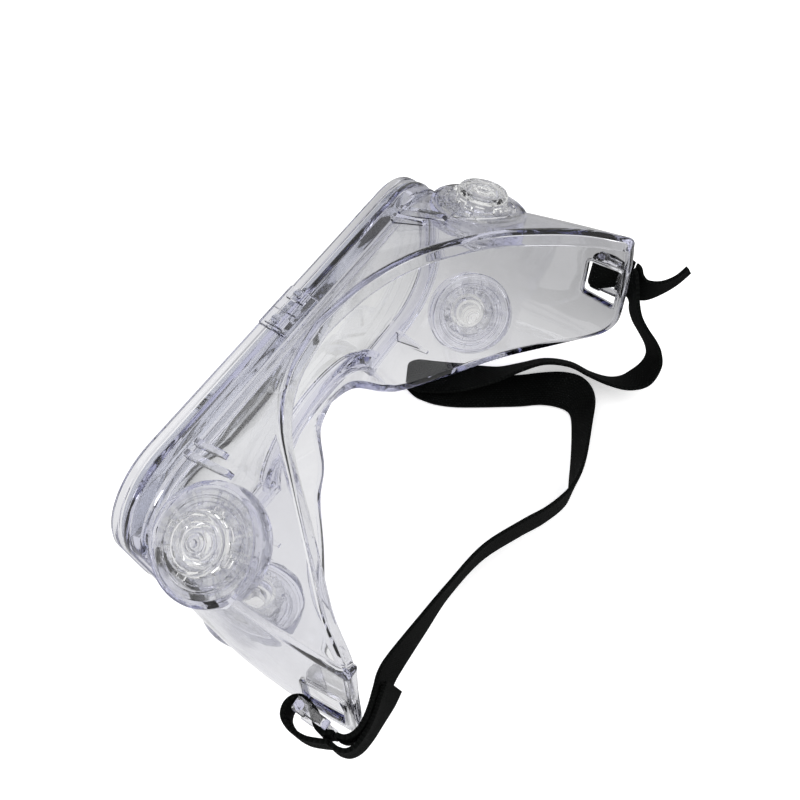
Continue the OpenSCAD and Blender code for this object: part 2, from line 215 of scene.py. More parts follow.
# ---------------------------------------------------------------- camera
# the photograph is taken from above and behind the wearer's left shoulder
AZ, EL, ROLL = math.radians(126.67), math.radians(59.24), math.radians(-3.93)
CAMERA_AT, CAMERA_LENS = (0.09215, 0.07064, 0.2457), 33.94
right = Vector((math.cos(AZ), math.sin(AZ), 0))
back = Vector((math.sin(AZ) * math.cos(EL), -math.cos(AZ) * math.cos(EL), math.sin(EL)))
up = back.cross(right)
cam_x = math.cos(ROLL) * right + math.sin(ROLL) * up
cam_y = -math.sin(ROLL) * right + math.cos(ROLL) * up
camera = bpy.data.objects.new("camera", bpy.data.cameras.new("camera"))
bpy.context.scene.collection.objects.link(camera)
turn = Matrix((cam_x, cam_y, back)).transposed().to_4x4()
camera.matrix_world = Matrix.Translation(CAMERA_AT) @ turn
camera.data.sensor_width = 36
camera.data.lens = CAMERA_LENS
camera.data.clip_start = 0.01
bpy.context.scene.camera = camera


# ---------------------------------------------------------------- materials
class Nodes:
    """Short way to wire one material."""

    def __init__(self, name):
        self.mat = bpy.data.materials.new(name)
        self.mat.use_nodes = True
        self.tree = self.mat.node_tree
        self.tree.nodes.clear()
        self.out = self.add("ShaderNodeOutputMaterial")

    def add(self, kind, **values):
        node = self.tree.nodes.new(kind)
        for key, value in values.items():
            setattr(node, key, value)
        return node

    def link(self, a, b):
        self.tree.links.new(a, b)

    def math(self, operation, a, b=None):
        node = self.add("ShaderNodeMath", operation=operation)
        for socket, value in zip(node.inputs, (a, b)):
            if value is None:
                continue
            if isinstance(value, (int, float)):
                socket.default_value = value
            else:
                self.link(value, socket)
        return node.outputs[0]

    def noise(self, scale, detail=4.0, rough=0.5):
        node = self.add("ShaderNodeTexNoise")
        node.inputs["Scale"].default_value = scale
        node.inputs["Detail"].default_value = detail
        node.inputs["Roughness"].default_value = rough
        coords = self.add("ShaderNodeTexCoord")
        self.link(coords.outputs["Object"], node.inputs["Vector"])
        return node.outputs["Fac"]

    def ramp(self, source, low, high, t0=0.0, t1=1.0):
        node = self.add("ShaderNodeValToRGB")
        e = node.color_ramp.elements
        e[0].position, e[0].color = t0, (*low, 1)
        e[1].position, e[1].color = t1, (*high, 1)
        self.link(source, node.inputs["Fac"])
        return node.outputs["Color"]

    def span(self, source, low, high, t0=0.0, t1=1.0):
        node = self.add("ShaderNodeMapRange")
        for key, value in (("From Min", t0), ("From Max", t1), ("To Min", low), ("To Max", high)):
            node.inputs[key].default_value = value
        self.link(source, node.inputs["Value"])
        return node.outputs["Result"]

    def bump(self, height, strength, distance):
        node = self.add("ShaderNodeBump")
        node.inputs["Strength"].default_value = strength
        node.inputs["Distance"].default_value = distance
        self.link(height, node.inputs["Height"])
        return node.outputs["Normal"]


def clear_plastic(name, tint, rough, ior, absorb, density, wave, lamp_tint):
    """Clear moulded plastic: like glass, tinted where it is thick, with faint flow waves and marks."""
    n = Nodes(name)
    p = n.add("ShaderNodeBsdfPrincipled")
    p.inputs["Transmission Weight"].default_value = 1.0
    p.inputs["IOR"].default_value = ior
    flow, fine = n.noise(55, 2), n.noise(900, 3, 0.6)
    n.link(n.ramp(flow, *tint, 0.3, 0.7), p.inputs["Base Color"])
    n.link(n.span(n.noise(160, 5, 0.7), *rough, 0.35, 0.75), p.inputs["Roughness"])
    height = n.math("ADD", flow, n.math("MULTIPLY", fine, 0.02))
    n.link(n.bump(height, wave, 0.0008), p.inputs["Normal"])
    # lamps shine through the clear plastic on to what is behind it
    see = n.add("ShaderNodeBsdfTransparent")
    see.inputs["Color"].default_value = (*lamp_tint, 1)
    mix, path = n.add("ShaderNodeMixShader"), n.add("ShaderNodeLightPath")
    n.link(path.outputs["Is Shadow Ray"], mix.inputs[0])
    n.link(p.outputs[0], mix.inputs[1])
    n.link(see.outputs[0], mix.inputs[2])
    n.link(mix.outputs[0], n.out.inputs["Surface"])
    v = n.add("ShaderNodeVolumeAbsorption")
    v.inputs["Color"].default_value = (*absorb, 1)
    v.inputs["Density"].default_value = density
    n.link(v.outputs[0], n.out.inputs["Volume"])
    return n.mat


vinyl = clear_plastic(
    "clear_vinyl", tint=((0.90, 0.90, 0.905), (0.95, 0.95, 0.955)), rough=(0.012, 0.05), ior=1.50,
    absorb=(0.46, 0.47, 0.70), density=42, wave=0.07, lamp_tint=(0.92, 0.92, 0.94))
pane = clear_plastic(
    "lens_plastic", tint=((0.91, 0.915, 0.91), (0.94, 0.945, 0.94)), rough=(0.01, 0.035), ior=1.55,
    absorb=(0.7, 0.72, 0.8), density=20, wave=0.03, lamp_tint=(0.95, 0.95, 0.95))
frost = clear_plastic(
    "vent_plastic", tint=((0.94, 0.94, 0.935), (0.975, 0.975, 0.97)), rough=(0.03, 0.09), ior=1.46,
    absorb=(0.78, 0.79, 0.81), density=22, wave=0.03, lamp_tint=(0.93, 0.93, 0.93))
clip = clear_plastic(
    "clip_plastic", tint=((0.9, 0.9, 0.91), (0.94, 0.94, 0.95)), rough=(0.02, 0.07), ior=1.5,
    absorb=(0.5, 0.5, 0.7), density=60, wave=0.05, lamp_tint=(0.92, 0.92, 0.95))


def elastic():
    """Black braided elastic: ribs along it, crossed by short alternating stitches, with paler threads."""
    n = Nodes("strap_elastic")
    p = n.add("ShaderNodeBsdfPrincipled")
    uv = n.add("ShaderNodeUVMap")
    uv.uv_map = "run"
    split = n.add("ShaderNodeSeparateXYZ")
    n.link(uv.outputs[0], split.inputs[0])
    along, across = split.outputs[0], split.outputs[1]
    rib = n.math("ABSOLUTE", n.math("SINE", n.math("MULTIPLY", across, math.pi / RIB_PITCH)))
    column = n.math("FLOOR", n.math("DIVIDE", across, RIB_PITCH))
    phase = n.math("MULTIPLY", n.math("MODULO", column, 2.0), math.pi)
    stitch = n.math("SINE", n.math("ADD", n.math("MULTIPLY", along, 2 * math.pi / STITCH), phase))
    twill = n.math("MULTIPLY", along, 2 * math.pi / (STITCH / 2))
    slope = n.math("SINE", n.math("ADD", twill, n.math("MULTIPLY", across, 5.0)))
    weave = n.math("MULTIPLY", rib, n.math("ADD", n.math("MULTIPLY", stitch, 0.35), 0.65))
    weave = n.math("ADD", weave, n.math("MULTIPLY", slope, 0.12))
    fuzz = n.noise(2600, 4, 0.7)
    height = n.math("ADD", weave, n.math("MULTIPLY", fuzz, 0.5))
    tone = n.math("ADD", n.math("MULTIPLY", weave, 0.6), n.math("MULTIPLY", n.noise(45, 3), 0.5))
    color = n.ramp(tone, (0.0012, 0.0014, 0.0013), (0.0075, 0.0082, 0.0078), 0.25, 1.0)
    n.link(color, p.inputs["Base Color"])
    n.link(n.span(fuzz, 0.72, 0.95, 0.3, 0.7), p.inputs["Roughness"])
    p.inputs["Specular IOR Level"].default_value = 0.03
    n.link(n.bump(height, 0.7, 0.0002), p.inputs["Normal"])
    n.link(p.outputs[0], n.out.inputs["Surface"])
    return n.mat


strap_mat = elastic()


def finish_piece(obj, material, slot, body, *nodes):
    """Gives a piece its material and the body it rides on, and hides the CAD nodes it replaces. The slot is
    not used.
    """
    obj.data.materials.clear()
    obj.data.materials.append(material)
    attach(obj, body)
    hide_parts(*nodes)


# ---------------------------------------------------------------- strap
# Each row of a route is a place (x, y behind the lens, z) and the direction of the strap's width there.
BX, BY = BUCKLE_X, BAR_Y - YL
MAIN = [
    [-BX - 0.4, 79.2, MID_Z, 0, 0, 1], [-84.5, 80.6, 42.8, 0.05, 0, 1], [-83.7, 82, 40.6, 0.2, 0.05, 0.97],
    [-82.2, 83.8, 36.6, 0.38, 0.16, 0.9], [-81.3, 86.4, 32, 0.48, 0.2, 0.85],
    [-81.1, 90, 27.6, 0.5, 0.2, 0.84], [-81.5, 93.8, 22.6, 0.48, 0.26, 0.84],
    [-82, 96.2, 17, 0.44, 0.36, 0.82], [-80.8, 97.1, 11.4, 0.42, 0.55, 0.72],
    [-77.2, 95.8, 7, 0.55, 0.62, 0.54], [-73.2, 92.1, 5.6, 0.66, 0.42, 0.6],
    [-70.4, 86.6, 5.9, 0.66, 0.2, 0.71], [-69.3, 79.4, 6.1, 0.62, 0.15, 0.77],
    [-69.2, 71.2, 6.3, 0.62, 0.18, 0.77], [-65.5, 62.7, 6.3, 0.62, 0.22, 0.75],
    [-58.6, 56.2, 6, 0.62, 0.3, 0.72], [-52.4, 50.8, 5.4, 0.68, 0.38, 0.62],
    [-47.8, 44.8, 4.6, 0.78, 0.45, 0.42], [-43.5, 38.6, 3.8, 0.84, 0.5, 0.22],
    [-39.8, 32, 3.2, 0.86, 0.5, 0.06], [-37, 26.2, 3.1, 0.88, 0.47, 0], [-35.4, 22.6, 3.1, 0.89, 0.45, 0],
    [-34.8, 21.2, 2.6, 0.89, 0.45, 0], [-34.8, 21.3, 1.2, 0.89, 0.45, 0], [-35, 23, 0.8, 0.89, 0.45, 0],
    [-35.1, 26.4, 0.8, 0.88, 0.47, 0], [-36, 32, 0.8, 0.86, 0.5, 0], [-38.6, 38.4, 0.8, 0.84, 0.53, 0],
    [-43, 45.7, 0.8, 0.84, 0.53, 0], [-47.8, 53, 0.8, 0.85, 0.52, 0], [-52.4, 59.8, 0.8, 0.86, 0.5, 0],
    [-57, 66, 1.2, 0.88, 0.46, -0.06], [-59.4, 72.4, 2.9, 0.88, 0.28, -0.3],
    [-59.1, 78.6, 4.9, 0.74, 0, -0.6], [-54.6, 83.6, 6.8, 0.4, -0.3, -0.86],
    [-45, 87.8, 7.7, 0.1, -0.3, -0.95], [-31, 93, 7.8, 0, -0.2, -1], [-21, 95, 7.8, 0, 0, -1],
    [-10.5, 92, 7.8, 0, 0, -1], [-1, 87, 7.8, 0, 0, -1], [13, 80.6, 7.8, 0, 0, -1],
    [29.5, 77.8, 8.4, 0, 0, -1], [44, 77.3, 12.4, 0, 0.12, -1], [58.4, 77.9, 22.5, -0.1, 0.22, -0.96],
    [64.3, 78.7, 27, -0.1, 0.22, -0.96], [69.4, 80.4, 31, -0.05, 0.18, -0.98],
    [74.8, 81.9, 35.8, 0, 0.08, -1], [79.2, 82.7, 39.6, 0, 0.02, -1], [82.3, 82.4, 42, 0, 0, -1],
    [84.2, 81.1, 43.2, 0, 0, -1], [BX + 0.4, 79.2, MID_Z, 0, 0, -1]]
WRAP_RIGHT = [
    [BX + 2.8, 78.4, MID_Z, 0, 0, 1], [BX + 3.4, 76.5, MID_Z, 0, 0, 1],
    [BX + 3.8, BY + 5.4, MID_Z, 0, 0, 1], [BX + 3.2, BY + 1.4, MID_Z, 0, 0, 1],
    [BX + 1.6, BY - 1.7, MID_Z, 0, 0, 1], [BX - 0.6, BY - 2, MID_Z, 0, 0, 1],
    [BX - 2, BY - 0.4, MID_Z, 0, 0, 1], [BX - 1.7, BY + 1.8, MID_Z, 0, 0, 1],
    [BX - 0.2, BY + 3.8, MID_Z, 0, 0, 1], [BX + 1.5, BY + 5.9, MID_Z, 0, 0, 1],
    [BX + 1.8, 76.2, MID_Z, 0, 0, 1], [BX + 0.9, 77.5, MID_Z, 0, 0, 1], [BX + 0.5, 78.4, MID_Z, 0, 0, 1]]
WRAP_LEFT = [
    [BX + 2.8, 78.4, MID_Z, 0, 0, 1], [BX + 3.8, 76.5, MID_Z, 0, 0, 1], [BX + 5.2, BY + 5, MID_Z, 0, 0, 1],
    [BX + 5.4, BY + 1, MID_Z, 0, 0, 1], [BX + 4.2, BY - 2.2, MID_Z, 0, 0, 1],
    [BX + 1.8, BY - 3.4, MID_Z, 0, 0, 1], [BX - 0.6, BY - 2.8, MID_Z, 0, 0, 1],
    [BX - 2, BY - 0.8, MID_Z, 0, 0, 1], [BX - 1.7, BY + 1.6, MID_Z, 0, 0, 1],
    [BX - 0.2, BY + 3.8, MID_Z, 0, 0, 1], [BX + 1.5, BY + 5.9, MID_Z, 0, 0, 1],
    [BX + 1.8, 76.2, MID_Z, 0, 0, 1], [BX + 0.9, 77.5, MID_Z, 0, 0, 1], [BX + 0.5, 78.4, MID_Z, 0, 0, 1]]
TAIL = [
    [-BX - 2.8, 79.2, MID_Z, 0, 0, 1], [-87, 80.8, 42.8, 0, 0, 1], [-86.6, 82.6, 41, 0.1, 0, 1],
    [-87.6, 85.4, 40, 0.28, -0.06, 0.95], [-90.3, 89, 40.8, 0.45, -0.03, 0.88],
    [-94.2, 92.2, 42.7, 0.55, -0.02, 0.83], [-98.6, 94.2, 45, 0.62, -0.05, 0.78]]
HEM = [
    [BX + 2.8, 79.2, MID_Z, 0, 0, -1], [87.2, 81.4, 43.4, 0, 0, -1], [86.2, 83.4, 42.8, 0, 0, -1],
    [83.8, 84.5, 41.3, 0, 0.02, -1], [80, 84.6, 38.8, 0, 0.05, -1], [75.2, 83.9, 35, 0, 0.1, -1],
    [69.8, 82.8, 30.8, -0.05, 0.2, -0.98], [65.4, 81.7, 27.2, -0.1, 0.23, -0.96]]


def ribbon(name, route, steps, flip=1, creased=False):
    """Woven ribbon along a route, its ribs as real ridges, with a map of length and width for the weave."""
    run = smooth([[r[0] * flip, YL + r[1], r[2], r[3] * flip, r[4], r[5]] for r in route], steps)
    pts = [Vector(r[:3]) for r in run]
    # points across each face, and how far in from its sides it thins
    k, edge = 48, 0.55
    crease = min(pts, key=lambda p: p[1]) if creased else None
    rings, lengths, total = [], [], 0.0
    for i, p in enumerate(pts):
        d = (pts[min(i + 1, len(pts) - 1)] - pts[max(i - 1, 0)]).normalized()
        a = Vector(run[i][3:]).normalized()
        b = d.cross(a).normalized()
        if i:
            total += (p - pts[i - 1]).length
        lengths.append(total)
        # the strap gathers where it is folded over
        near = (p - crease).length / CREASE_REACH if creased else 1
        half = STRAP_W / 2 * (CREASE_W + (1 - CREASE_W) * math.sqrt(1 - (1 - min(1, near)) ** 2))
        ring = []
        for side in (-1, 1):
            for j in range(k):
                s = side * half * (1 - 2 * j / k)
                e = min(1.0, (half - abs(s)) / edge)
                c = STRAP_T / 2 * (0.25 + 0.75 * math.sqrt(max(0.0, 1 - (1 - e) ** 2)))
                c *= 0.93 + 0.07 * abs(math.sin(math.pi * s / RIB_PITCH))
                if abs(s) == half:
                    c = 0.0
                ring.append(p - s * a + side * c * b)
        rings.append([tuple(q) for q in ring])
    obj = loft(name, rings, closed=False, sharp=50)
    layer = obj.data.uv_layers.new(name="run")
    count = len(rings[0])
    across = [(-1 if j < k else 1) * STRAP_W / 2 * (1 - 2 * (j % k) / k) for j in range(count)]
    for poly in obj.data.polygons:
        for loop in poly.loop_indices:
            v = obj.data.loops[loop].vertex_index
            layer.data[loop].uv = (lengths[v // count], across[v % count])
    return outward(obj), [tuple(c * MM for c in p) for p in pts], total * MM


strap, strap_path, strap_length = ribbon("strap", MAIN, 9, creased=True)
finish_piece(strap, strap_mat, "strap_elastic", "mask", "strap_main")
hem = ribbon("strap_hem_end", HEM, 12)[0]
finish_piece(hem, strap_mat, "strap_elastic", "mask", "strap_hem")
tail = ribbon("strap_tail_end", TAIL, 12)[0]
finish_piece(tail, strap_mat, "strap_elastic", "clip_right", "strap_tail")
for flip, side, route in ((1, "left", WRAP_LEFT), (-1, "right", WRAP_RIGHT)):
    loop = ribbon("strap_loop_" + side, route, 8, flip)[0]
    finish_piece(loop, strap_mat, "strap_elastic", "clip_" + side, "strap_wrap_" + side)


# ---------------------------------------------------------------- mask: one moulding
def arc(cx, cz, r, start, end, k):
    """Points (x, z) on a circle from one angle to another, in k steps."""
    out = []
    for j in range(k + 1):
        a = math.radians(start + (end - start) * j / k)
        out.append((cx + r * math.cos(a), cz + r * math.sin(a)))
    return out


def outline(d):
    """The frame's outline, d inside its outer edge: brow, cheek and nose notch, left half then right."""
    a, b = NOSE_HW + d, NOSE_H + d
    s = math.degrees(math.asin(d / b)) if d > 0 else 0.0
    half = arc(HW - BROW_R, FRAME_H - BROW_R, BROW_R - d, 90, 0, 24)
    half += arc(HW - CHEEK_R, CHEEK_R, CHEEK_R - d, 0, -90, 24)
    for j in range(30):
        angle = math.radians(s + (90 - s) * j / 30)
        half.append((a * math.cos(angle), b * math.sin(angle)))
    return half + [(0, b)] + [(-x, z) for x, z in reversed(half)]


# section of the frame: inset from the outer edge, depth behind the front
SECTION = [
    (0.6, 0.0), (0.25, 0.12), (0.05, 0.45), (0.0, 0.9), (0.0, 2.3), (0.2, 2.65), (0.75, 2.85), (0.8, 3.1),
    (0.8, 4.3), (0.7, 4.6), (0.15, 4.8), (0.0, 5.1), (0.0, 6.6), (0.15, 6.9), (0.55, 7.1), (0.6, 7.4),
    (0.6, 9.9), (0.7, 10.5), (1.1, 10.9), (1.6, 11.0), (8.4, 11.0), (8.8, 10.85), (9.0, 10.4), (9.0, 9.0),
    (8.85, 8.55), (8.4, 8.4), (6.5, 8.4), (6.1, 8.25), (6.0, 7.9), (6.0, 5.1), (5.85, 4.75), (5.5, 4.6),
    (2.9, 4.6), (2.5, 4.5), (2.4, 4.2), (2.4, 0.5), (2.3, 0.15), (1.95, 0.0)]
rings = [[(x, Y0 + y, z) for x, z in outline(d)] for d, y in SECTION]
mask = outward(loft("mask_moulding", rings, closed=True, sharp=30))

# rows round the wall, from brow to nose: x and z at the frame; x, depth and z at the face; how far it bows
HALF_ROWS = [
    [0, 67.3, 0, 5.5, 72, 0], [18, 67.3, 18, 10, 74.8, 0], [34, 67.3, 34, 20, 78.5, 0],
    [48, 67.2, 48, 35.5, 81.5, 0.1], [59, 66.2, 59, 48, 79.8, 0.1], [68, 62.6, 68, 58, 76.5, 0.1],
    [72, 59, 73.3, 66.4, 74, 0.15], [73.8, 56.5, 75.3, 69.2, 72.5, 0.2], [75.2, 52.6, 76.2, 70, 68.6, 0.3],
    [76.8, 46, 78, 71, 58, 0.5], [77, 33, 80, 72, 40, 0.8],
    [76.6, 21, 81, 71.5, 26, 0.7], [73.4, 12.5, 79, 65, 15.5, 0.4], [65, 4.6, 71.5, 54.5, 10, 0.1],
    [53, 1.7, 56, 40.5, 10, 0], [41, 1.5, 40, 28, 9, 0], [30, 1.7, 26, 16, 7, 0],
    [22.5, 12.2, 17.5, 12.5, 14.5, 0], [12.5, 18.6, 9.6, 6.5, 22.5, 0], [0, 20.6, 0, 4.5, 25.5, 0]]
STEPS = 6
rows = smooth(HALF_ROWS, STEPS)
around = rows + [[-r[0], r[1], -r[2], r[3], r[4], r[5]] for r in rows[-2:0:-1]]
N = len(around)


def front_p(i):
    """Point i of the wall where it leaves the frame."""
    r = around[i % N]
    return Vector((r[0], YB, r[1]))


def face_p(i):
    """Point i of the edge that meets the face."""
    r = around[i % N]
    return Vector((r[2], YB + r[3], r[4]))


def rear_p(i):
    """Point i where the wall ends and the lip begins."""
    return face_p(i) - LIP_T * (face_p(i) - front_p(i)).normalized()


def out_p(i, t):
    """Point i of the wall's outer face, t of the way from the frame to the lip."""
    f = front_p(i)
    push = Vector((f[0], 0, f[2] - BOW_Z)).normalized() * BOW * around[i % N][5] * 4 * t * (1 - t)
    return f.lerp(rear_p(i), t) + push


def normal(i, t):
    """Direction out of the wall's outer face."""
    round_it = out_p(i + 2, t) - out_p(i + N - 2, t)
    to_the_rear = out_p(i, min(t + 0.05, 1)) - out_p(i, max(t - 0.05, 0))
    return round_it.cross(to_the_rear).normalized()


def in_p(i, t, d):
    """Point d inside the wall's outer face."""
    v = normal(i, t)
    if t == 0:
        v = Vector((v[0], 0, v[2])).normalized()
    q = out_p(i, t) - d * v
    return Vector((q[0], max(q[1], YB + 3 * t), q[2]))


def lip_width(i):
    """Full along the brow, narrow down the temples, cheeks and nose."""
    k = min(i, N - i) / STEPS
    return LIP_W + (LIP_NARROW - LIP_W) * min(1, max(0, (k - 5) / 5))


sections = []
LEVELS = [0, 0.04, 0.1, 0.18, 0.27, 0.37, 0.48, 0.59, 0.7, 0.8, 0.9]
# the wall starts inside the frame, so that the two become one solid
root = Vector((0, -1.2, 0))
for i in range(N):
    e1 = (rear_p(i) - out_p(i, 0.94)).normalized()
    tip = in_p(i, 1, lip_width(i)) - rear_p(i)
    e2, w = tip.normalized(), tip.length
    # the lip's rounded section: along the wall, then across it towards the face
    lip = (
        (-0.9, 0), (0.75, 0), (1.15, 0.12), (1.45, 0.42), (LIP_T, 0.9), (LIP_T, w - 0.8), (1.5, w - 0.35),
        (1.2, w - 0.08), (0.8, w), (0.4, w - 0.08), (0.1, w - 0.35), (0, w - 0.8), (0, WALL_T + 0.55),
        (-0.15, WALL_T + 0.2), (-0.55, WALL_T))
    ring = [out_p(i, 0) + root] + [out_p(i, t) for t in LEVELS]
    ring += [rear_p(i) + a * e1 + b * e2 for a, b in lip]
    ring += [in_p(i, t, WALL_T) for t in reversed(LEVELS)] + [in_p(i, 0, WALL_T) + root]
    sections.append([tuple(p) for p in ring])
wall = outward(loft("wall", sections, closed=True, sharp=30))
wall_tree = BVHTree.FromObject(wall, bpy.context.evaluated_depsgraph_get())


def window_outline(grow=0.0):
    """Outline of a temple's strap window in (y, z), its top edge rising to the rear."""
    l, h = WINDOW_L, WINDOW_H
    corners = [((0, 0), 1.6), ((l, 0), 1.6), ((l, h + 2.4), 1.8), ((0, h), 1.8)]
    out = []
    for k in range(4):
        (p, r), (q, _), (s, _) = corners[k], corners[k - 1], corners[(k + 1) % 4]
        p, q, s = Vector(p), Vector(q), Vector(s)
        a, b = p + (q - p).normalized() * r, p + (s - p).normalized() * r
        for j in range(7):
            t = j / 6
            out.append((1 - t) ** 2 * a + 2 * t * (1 - t) * p + t * t * b)
    mid = Vector((l / 2, h / 2 + 1))
    result = []
    for p in out:
        d = p - mid
        result.append((WINDOW_Y + p[0] + math.copysign(grow, d[0]) * min(1, abs(d[0]) / (l / 2)),
                       WINDOW_Z + p[1] + math.copysign(grow, d[1]) * min(1, abs(d[1]) / (h / 2))))
    return result


def wall_x(side, y, z):
    """x of a temple wall's outer face at (y, z), or about where it would be beyond the wall's edge."""
    far, least, beyond = 120, 70, 81.5
    hit = wall_tree.ray_cast(Vector((side * far * MM, y * MM, z * MM)), Vector((-side, 0, 0)))[0]
    return hit[0] / MM if hit is not None and abs(hit[0]) > least * MM else side * beyond


def window_rim(side):
    """Raised rim that follows the wall round the strap window."""
    # how far outside the hole, and how far off the wall
    section = (
        (0.8, 0.1), (0.7, 0.35), (0.4, 0.45), (-0.2, 0.45), (-0.2, -2.1), (0.4, -2.1), (0.7, -2.05),
        (0.8, -1.9))
    rings = []
    for grow, lift in section:
        rings.append([(wall_x(side, y, z) + side * lift, y, z) for y, z in window_outline(grow)])
    return outward(loft(f"rim_{side}", rings, closed=True, sharp=40))


# profiles round a vent's axis, (radius, height) from its seat plane
PAD = [
    (0, -PAD_H - 0.3), (PAD_R - 0.5, -PAD_H - 0.3), (PAD_R, -PAD_H + 0.2), (PAD_R, -0.3), (PAD_R - 0.15, 0.1),
    (PAD_R - 0.5, 0.2), (0, 0.2)]
BORE = [(0, -PAD_H - 14), (BORE_R, -PAD_H - 14), (BORE_R, 2), (0, 2)]
ROOM = [(0, 0), (ROOM_R - 0.2, 0), (ROOM_R, 0.2), (ROOM_R, 12), (0, 12)]
RECESS = [
    (0, -PAD_H - 5), (RECESS_R, -PAD_H - 5), (RECESS_R, -PAD_H - 0.4), (RECESS_R - 0.4, -PAD_H), (0, -PAD_H)]
BROW_RIBS, BROW_RIB_T = ((47.5, 12), (51.5, 17)), 1.6
GUSSET_X, GUSSET_T = 46, 1.4


def window_hole(side):
    """Solid that cuts the strap window through the wall."""
    near, far = 60, 100
    return prism(f"hole_{side}", window_outline(), min(side * near, side * far), max(side * near, side * far))


def brow_rib(side, x, length):
    """Tapered stiffening rib behind the frame."""
    profile = [
        (YB - 0.5, 66), (YB - 0.5, 70.2), (YB + 0.1, 70.6), (YB + 1, 70.7),
        (YB + 0.3 + length * 0.85, 69.2 + length * 0.34), (YB + length * 0.94, 68.8 + length * 0.36),
        (YB + 0.3 + length, 67 + length * 0.4)]
    return prism(f"rib_{side}_{x}", profile, side * x - BROW_RIB_T / 2, side * x + BROW_RIB_T / 2)


def gusset(side):
    """Stiffener inside a cheek, from the frame down to the floor of the mask."""
    profile = [
        (YB - 0.5, 2), (YB - 0.5, 9.3), (YB + 0.3, 9.5), (YB + 1.8, 9.2), (YB + 13.3, 5), (YB + 13.7, 4.5),
        (YB + 13.8, 4)]
    return prism(f"gusset_{side}", profile, side * GUSSET_X - GUSSET_T / 2, side * GUSSET_X + GUSSET_T / 2)


adds, cuts = [wall], []
for side in (-1, 1):
    adds.append(window_rim(side))
    cuts.append(window_hole(side))
    for top in (True, False):
        m = vent_matrix(side, top)
        adds.append(place(lathe("pad", PAD), m))
        cuts.append(place(lathe("bore", BORE, 64), m))
        cuts.append(place(lathe("room", ROOM), m))
        cuts.append(place(lathe("recess", RECESS, 64), m))
    for x, length in BROW_RIBS:
        adds.append(brow_rib(side, x, length))
    adds.append(gusset(side))

# latch on the brow: a flat tab with two round studs and a middle bar
Z, STUD_X = FRAME_H, 5.2
STUD = [(0, 1.2), (1.5, 1.2), (1.5, 2.8), (1.35, 3.15), (1.0, 3.3), (0, 3.3)]
adds.append(block("tab", (-8, Y0 + 0.4, Z - 0.6), (8, Y0 + 10.6, Z + 1.2), 0.45))
for s in (-1, 1):
    x = s * STUD_X
    adds.append(block(f"boss_{s}", (x - 2, Y0 + 2.2, Z + 0.4), (x + 2, Y0 + 8.6, Z + 2.1), 0.4))
    stud = lathe(f"stud_{s}", STUD, 32)
    adds.append(place(stud, Matrix.Translation((x * MM, (Y0 + 5.4) * MM, (Z - 0.1) * MM))))
adds.append(block("bar", (-1.4, Y0 + 1.4, Z + 0.4), (1.4, Y0 + 9.4, Z + 1.7), 0.35))
merge(mask, adds, "UNION")
merge(mask, cuts, "DIFFERENCE")
shade(mask, 30)
finish_piece(mask, vinyl, "clear_vinyl", "mask", "mask_body", "face_lip", "lens_frame", "lens_latch")


# ---------------------------------------------------------------- lens, a flat plate with eased edges
def plate(name, inset, low, high, ease):
    """The frame's outline, inset, as a flat plate between two depths behind the front."""
    section = (
        (ease, low), (ease * 0.3, low + ease * 0.3), (0, low + ease),
        (0, high - ease), (ease * 0.3, high - ease * 0.3), (ease, high))
    rings = [[(x, Y0 + y, z) for x, z in outline(inset + e)] for e, y in section]
    return outward(loft(name, rings, closed=False, sharp=30))


lens = plate("lens_pane", inset=2.7, low=2.3, high=4.3, ease=0.3)
finish_piece(lens, pane, "lens_plastic", "lens", "lens")

# ---------------------------------------------------------------- vents
# closed profiles of (radius, height)
SEAT = [
    (BORE_R - 1.3, 1.3), (BORE_R - 1.1, 1.5), (9.9, 1.5), (10.3, 1.4), (10.6, 0.95), (11.4, 0.95),
    (11.6, 1.4), (11.8, 1.5), (12.0, 1.45), (12.25, 1.15), (13.6, 1.05), (13.9, 0.85), (VENT_R, 0.5),
    (13.9, 0.12), (13.7, 0.0), (BORE_R + 0.1, 0.0), (BORE_R, -0.1), (BORE_R, -PAD_H - 1.4),
    (BORE_R - 0.15, -PAD_H - 1.6), (BORE_R - 1.1, -PAD_H - 1.6), (BORE_R - 1.3, -PAD_H - 1.4)]
CAP = [
    (8.6, 1.8), (8.62, 2.2), (8.55, 3.2), (8.35, 4.4), (8.1, 5.3), (7.85, 5.8), (7.5, 6.2), (7.15, 6.3),
    (6.8, 6.22), (6.6, 5.98), (6.2, 5.9), (3.3, 5.9), (3.05, 6.0), (2.95, 6.35), (2.75, 6.5), (2.45, 6.5),
    (2.25, 6.35), (2.15, 6.0), (1.6, 5.85), (1.15, 5.95), (1.05, 6.35), (0.8, 6.55), (0.4, 6.62), (0, 6.64),
    (0, 4.7), (3.7, 4.7), (4.0, 4.4), (4.0, -3.8), (4.15, -4.0), (5.05, -4.0), (5.24, -3.8), (5.24, 4.0),
    (5.5, 4.3), (6.9, 4.3), (7.3, 4.0), (7.55, 2.0), (7.65, 1.8)]
RING_H = 1.6
RETAINER = [
    (BORE_R + 0.02, 0.1), (BORE_R + 0.12, 0.0), (9.1, 0.0), (9.35, 0.15), (9.4, 0.4), (9.4, 1.2),
    (9.35, 1.45), (9.1, RING_H), (BORE_R + 0.12, RING_H), (BORE_R + 0.02, 1.5)]
SCALLOP = [(0, -1), (0.9, -1), (0.9, 3), (0, 3)]
SCALLOPS, SCALLOP_AT, LUGS, SLOTS = 6, 9.2, 4, 8


def vent_ring(tag):
    """Retaining ring with scallops round its edge."""
    ring = lathe("vent_ring_" + tag, RETAINER, 72)
    out_to_edge = Matrix.Translation((SCALLOP_AT * MM, 0, 0))
    turns = [spin(360 / SCALLOPS * k) for k in range(SCALLOPS)]
    merge(ring, [place(lathe("scallop", SCALLOP, 20), turn @ out_to_edge) for turn in turns], "DIFFERENCE")
    shade(ring)
    return ring


